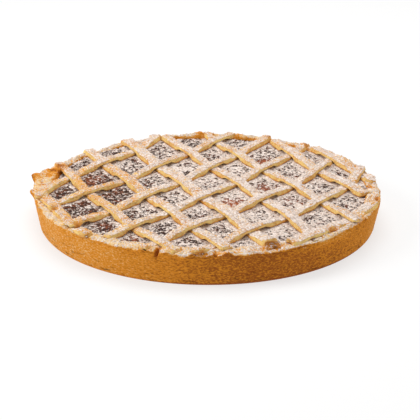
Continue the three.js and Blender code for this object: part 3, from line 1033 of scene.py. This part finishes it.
def case_marks(points, normals, rim, browner_and_shade):
    """Sugar, browning with painted shade, and roughness at each point of the case."""
    facing_up = smooth(normals[:, 2], *RIM_TOP_RANGE) * rim
    turn = np.degrees(np.arctan2(points[:, 1], points[:, 0]))
    # Browner towards the front bearing: partly real browning, partly painted shade of the wall that
    # faces away from the key light.
    front = np.exp(-(((turn - BROWNEST_BEARING) / BROWN_SPREAD) ** 2))
    bake = (WALL_BAKE + FRONT_BAKE_AND_SHADE * front) * (1 - TOP_PALER * facing_up)
    bake += noises(points, BAKE_PATCHES) + browner_and_shade
    # Painted contact shadow: the wall darkens at its foot, most at the front.
    bake += (FOOT_PAINTED_SHADE + FOOT_FRONT_PAINTED_SHADE * front) * smooth(points[:, 2], *FOOT_SHADE_RANGE)
    rough = LEAST_ROUGH + ROUGH_GAIN * smooth(points[:, 2], *ROUGH_RANGE)
    sugar = RIM_SUGAR * dough_sugar(points, facing_up, browner_and_shade)
    return {"sugar": sugar, "bake": bake, "rough": rough}


def case_piece():
    """The baked case: an uneven wall and a pinched rim, dented by hand and by the strips."""
    points, quads = case_mesh()
    last = len(points) - CASE_COLUMNS
    caps = [list(range(CASE_COLUMNS))[::-1], list(range(last, last + CASE_COLUMNS))]
    wall = smooth(points[:, 2], *WALL_RANGE)
    rim = smooth(points[:, 2], *RIM_RANGE)
    folds = rim_lumps(points)
    layers = smooth(noise(points * LAYER_STRETCH, LAYER_SIZE, LAYER_SEED), *LAYER_RANGE)
    swell = noises(points, CASE_LUMPS) + rim * folds
    swell -= (1 - rim) * LAYER_DEPTH * layers
    points = points + vertex_normals(points, quads) * (swell * wall)[:, None]
    points, browner_and_shade = dent_rim(points)
    # Painted shade: the rim's hollows between its folds are darkened and lose their sugar.
    hollow_shade = smooth(-folds, *HOLLOW_RANGE) * rim
    browner_and_shade += HOLLOW_PAINTED_SHADE * hollow_shade
    points = press_strips(points)
    normals = vertex_normals(points, quads)
    marks = case_marks(points, normals, rim, browner_and_shade)
    land_sugar(points, normals, marks["sugar"], PASTRY_CLUMP_SHARE)
    make_piece("case_crust", points, quads, caps, marks, CASE_DOUGH, "pastry_case")


# ---------------------------------------------------------------- jam
JAM_COLUMNS = 290

# How far the jam reaches under the rim, and its gap to the floor of the case.
JAM_TUCK = 0.3
JAM_FLOOR_GAP = 0.3

# Unevenness of the jam: strength, size in mm and seed.
JAM_LUMPS = [(0.55, 8, 21), (0.45, 3.6, 22), (0.28, 1.8, 23)]

# The jam's sugar: what of the dusting it holds, more on its lumps and close beside strips, and
# less where it is redder.
JAM_SUGAR_LEAST = -0.04
JAM_SUGAR_GAIN = 0.93
JAM_SUGAR_RISEN = 0.16
JAM_RISE = 0.8
JAM_SUGAR_BESIDE = 0.3
BESIDE_RANGE = (0.5, 5.5)
JAM_SUGAR_OFF_RED = 0.3

# Places where the jam shows redder through the sugar: centre x and y, and how much.
RED_SPOTS = [
    (-93, 24, 0.35),
    (-100, -36, 0.15),
    (-80, -74, 0.2),
    (-120, 0, 0.1),
    (-57, -106, 0.25),
    (-72, -11, 0.15),
    (20, -32, 0.8),
    (48, 66, 0.7),
    (47, 4, 0.5),
    (64, -23, 0.4),
]
RED_SPOT_RADIUS = 12
RED_AVERAGE = 0.1
RED_DRIFTS = [(0.2, 12, 9)]


def redness(points):
    """How red the jam shows, from 0 to 1."""
    red = RED_AVERAGE + noises(points * FLATTEN, RED_DRIFTS)
    for x, y, more in RED_SPOTS:
        red += more * patch(points, x, y, RED_SPOT_RADIUS)
    return np.clip(red, 0, 1)


def strip_gap(points):
    """How far each point lies from the edge of the nearest strip, seen from above."""
    gap = np.full(len(points), np.inf)
    for strip in STRIPS:
        run = points[:, :2] @ strip.along
        across = np.abs(points[:, :2] @ strip.normal - strip.sideways(run)) - strip.half_width(run)
        past_end = np.maximum(strip.start - run, run - strip.end)
        gap = np.minimum(gap, np.maximum(across, past_end))
    return np.maximum(gap, 0)


def jam_mesh():
    """A lumpy top, as a square grid eased on to a disc, and a skirt down to a flat underside."""
    side = np.linspace(-1, 1, JAM_COLUMNS)
    u, v = np.meshgrid(side, side, indexing="ij")
    x, y = (u * np.sqrt(1 - v * v / 2)).ravel(), (v * np.sqrt(1 - u * u / 2)).ravel()
    reach = inner_radius(np.arctan2(y, x)) + JAM_TUCK
    top = np.stack((x * reach, y * reach, np.full(len(x), JAM_LEVEL)), axis=1)
    top[:, 2] += noises(top, JAM_LUMPS)
    index = np.arange(len(top)).reshape(JAM_COLUMNS, JAM_COLUMNS)
    edge = np.concatenate((index[:-1, 0], index[-1, :-1], index[:0:-1, -1], index[0, :0:-1]))
    low = top[edge]
    low[:, 2] = BASE_THICKNESS + JAM_FLOOR_GAP
    below = len(top) + np.arange(len(edge))
    skirt = np.stack((edge, below, np.roll(below, -1), np.roll(edge, -1)), axis=1)
    quads = np.concatenate((grid_quads(JAM_COLUMNS, JAM_COLUMNS, False), skirt))
    return np.concatenate((top, low)), quads[:, ::-1], [below.tolist()]


def jam_piece():
    """The jam, with sugar on its lumps and beside the strips, and less on redder fruit."""
    points, quads, caps = jam_mesh()
    normals = vertex_normals(points, quads)
    red = redness(points)
    risen = smooth(points[:, 2], JAM_LEVEL - JAM_RISE, JAM_LEVEL + JAM_RISE)
    beside = 1 - smooth(strip_gap(points), *BESIDE_RANGE)
    sugar = JAM_SUGAR_LEAST + JAM_SUGAR_GAIN * sugar_fall(points)
    sugar += JAM_SUGAR_RISEN * risen
    sugar += JAM_SUGAR_BESIDE * beside
    sugar = np.clip(sugar - JAM_SUGAR_OFF_RED * red, 0, 1)
    land_sugar(points, normals, sugar, JAM_CLUMP_SHARE)
    marks = {"sugar": sugar, "red": red}
    make_piece("jam_layer", points, quads, caps, marks, JAM, "jam_filling")


case_piece()
jam_piece()
for number, strip in enumerate(STRIPS):
    strip_piece(strip, STRIP_FIRST_SEED + STRIP_SEEDS * number)
sugar_piece()


# ---------------------------------------------------------------- floor, light and camera
WHITE = (1, 1, 1, 1)
FLOOR_REACH = 4
FLOOR_TINT = 0.32
FLOOR_GLOW = 0.66
WORLD_STRENGTH = 0.4

# Each light, in metres and watts: its place, width, power and colour. All face LIGHT_AIM.
LIGHTS = {
    "key": ((-1.2, -0.3, 0.8), 0.7, 10, (1, 0.99, 0.97)),
    "fill": ((1.2, 0.1, 0.8), 0.9, 2.6, (1, 0.99, 0.98)),
    "top": ((0, 0.5, 1.4), 1.2, 13, (1, 0.99, 0.98)),
}
LIGHT_AIM = Vector((0, 0, 0.02))


def make_floor():
    """A wide pale floor with a faint glow of its own."""
    corners = [(-1, -1), (1, -1), (1, 1), (-1, 1)]
    mesh = bpy.data.meshes.new("floor")
    mesh.from_pydata([(FLOOR_REACH * x, FLOOR_REACH * y, 0) for x, y in corners], [], [(0, 1, 2, 3)])
    floor = bpy.data.objects.new("floor", mesh)
    bpy.context.scene.collection.objects.link(floor)
    paint = Recipe("floor_white")
    mesh.materials.append(paint.surface((FLOOR_TINT, FLOOR_TINT, FLOOR_TINT, 1), 1, 0))
    paint.shader.inputs["Emission Color"].default_value = WHITE
    paint.shader.inputs["Emission Strength"].default_value = FLOOR_GLOW


def make_light(name, place, width, power, colour):
    """A soft round light that faces the tart."""
    data = bpy.data.lights.new(name, "AREA")
    data.shape = "DISK"
    data.size = width
    data.energy = power
    data.color = colour
    light = bpy.data.objects.new(name, data)
    light.location = place
    light.rotation_euler = (LIGHT_AIM - Vector(place)).to_track_quat("-Z", "Y").to_euler()
    bpy.context.scene.collection.objects.link(light)


def make_world():
    """Even white light from all round."""
    world = bpy.data.worlds.new("studio")
    world.use_nodes = True
    background = world.node_tree.nodes["Background"]
    background.inputs["Color"].default_value = WHITE
    background.inputs["Strength"].default_value = WORLD_STRENGTH
    bpy.context.scene.world = world


# The camera: sensor and lens in mm, range, target and distance in metres, angles in radians.
# Its aim is a little right of and below its target.
CAMERA_SENSOR = 36
CAMERA_LENS = 120
CAMERA_FARTHEST = 20
CAMERA_TARGET = Vector((0, 0, 0.015))
CAMERA_DISTANCE = 1.14418
CAMERA_ELEVATION = math.radians(20.882)
CAMERA_ROLL = math.radians(0.210)
CAMERA_AIM_RIGHT = 0.00186
CAMERA_AIM_UP = -0.00708


def make_camera():
    """A long lens from the front, looking down at the tart."""
    data = bpy.data.cameras.new("camera")
    data.sensor_width = CAMERA_SENSOR
    data.lens = CAMERA_LENS
    data.clip_end = CAMERA_FARTHEST
    camera = bpy.data.objects.new("camera", data)
    ahead = Vector((0, math.cos(CAMERA_ELEVATION), -math.sin(CAMERA_ELEVATION)))
    level = Vector((1, 0, 0))
    upward = Vector((0, math.sin(CAMERA_ELEVATION), math.cos(CAMERA_ELEVATION)))
    place = CAMERA_TARGET - ahead * CAMERA_DISTANCE
    right = level * math.cos(CAMERA_ROLL) + upward * math.sin(CAMERA_ROLL)
    up = upward * math.cos(CAMERA_ROLL) - level * math.sin(CAMERA_ROLL)
    look = (ahead + right * CAMERA_AIM_RIGHT + up * CAMERA_AIM_UP).normalized()
    right = look.cross(up).normalized()
    up = right.cross(look)
    turn = Matrix((right, up, -look)).transposed()
    camera.matrix_world = Matrix.Translation(place) @ turn.to_4x4()
    bpy.context.scene.collection.objects.link(camera)
    bpy.context.scene.camera = camera


make_floor()
make_world()
for light_name, settings in LIGHTS.items():
    make_light(light_name, *settings)
make_camera()
bpy.context.scene.view_settings.view_transform = "Standard"
